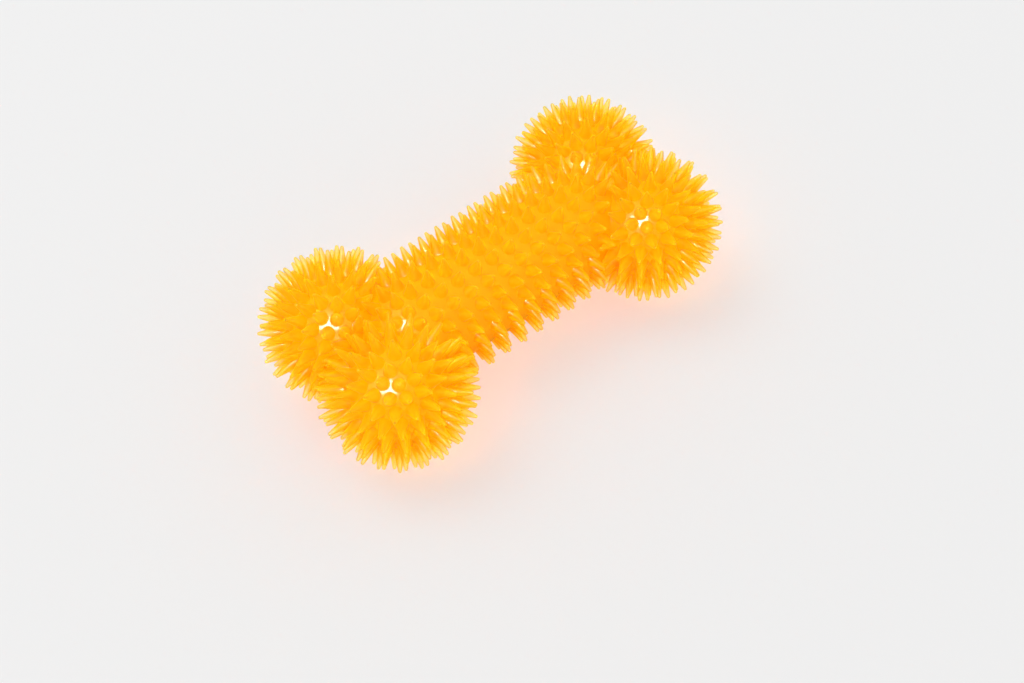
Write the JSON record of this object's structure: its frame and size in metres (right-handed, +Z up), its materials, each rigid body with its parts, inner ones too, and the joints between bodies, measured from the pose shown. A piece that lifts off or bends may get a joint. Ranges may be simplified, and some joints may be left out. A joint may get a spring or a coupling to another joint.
{
  "type": "squeaking rubber chew toy",
  "caption": "Hollow bone-shaped chew toy of translucent soft rubber, covered all over in blunt spikes, with a squeaker seated in a pad on its underside.",
  "frame": {"origin": "middle of the bone on the surface that it lies on, under its spike tips", "axes": "+X along the bone, +Y across it, +Z up, with the squeaker in the underside"},
  "size_m": [0.1192, 0.0638, 0.04],
  "materials": {
    "orange_rubber": "glossy",
    "white_polythene": "satin",
    "reed_film": "glossy"
  },
  "bodies": {
    "toy": {"upper_shell": "orange_rubber", "lower_shell": "orange_rubber", "squeaker_case": "white_polythene", "reed_block": "white_polythene", "reed_wedge": "white_polythene"},
    "reed": {"reed": "reed_film"}
  },
  "joints": [
    {"name": "reed_flutter", "type": "hinge", "parent": "toy", "child": "reed", "pos_m": [0.00026, 0, 0.0088], "axis": [0, 1, 0], "range_deg": [-0.8, 6], "stiffness_Nm_per_rad": 0.001}
  ]
}
